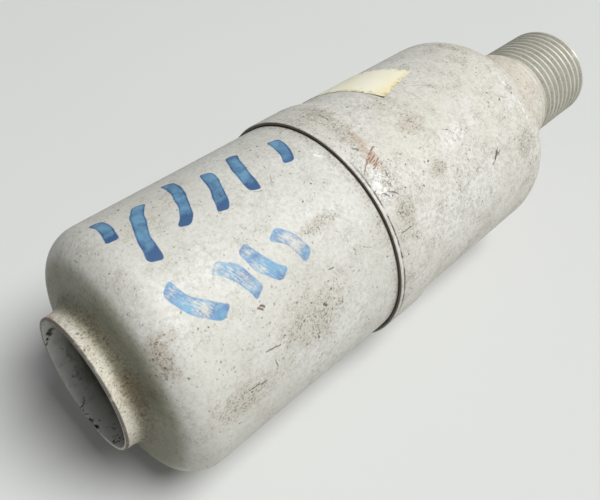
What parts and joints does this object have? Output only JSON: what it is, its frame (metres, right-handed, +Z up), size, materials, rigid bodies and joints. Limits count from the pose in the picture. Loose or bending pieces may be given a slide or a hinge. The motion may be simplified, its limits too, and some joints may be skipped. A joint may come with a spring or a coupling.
{
  "type": "pneumatic muffler",
  "caption": "Cylindrical exhaust muffler of drawn steel half shells, with a threaded inlet nipple, an inner diffuser, felt packing and an open outlet collar.",
  "frame": {"origin": "centre of the inlet nipple's end face", "axes": "+X along the axis from the inlet to the outlet, +Z up as the muffler lies on its side"},
  "size_m": [0.1275, 0.0424, 0.0424],
  "materials": {
    "shell_paint": "satin light warm-grey paint, scuffed and speckled",
    "bead_paint": "paint over a narrow weld bead",
    "thread_steel": "dull cut thread with bright crests",
    "plated_steel": "dull plated sheet",
    "felt": "pressed grey-brown felt"
  },
  "bodies": {
    "root": {"inlet_nipple": "thread_steel", "nipple_weld": "bead_paint", "rear_shell": "shell_paint", "front_shell": "shell_paint", "diffuser_tube": "plated_steel", "diffuser_cap": "plated_steel", "inlet_baffle": "plated_steel", "rear_liner": "plated_steel", "rear_felt_1": "felt", "rear_felt_2": "felt", "rear_felt_3": "felt", "rear_felt_4": "felt", "center_baffle": "plated_steel", "front_liner": "plated_steel", "front_felt_1": "felt", "front_felt_2": "felt", "front_felt_3": "felt", "front_felt_4": "felt", "front_felt_5": "felt", "outlet_baffle": "plated_steel"}
  },
  "joints": []
}
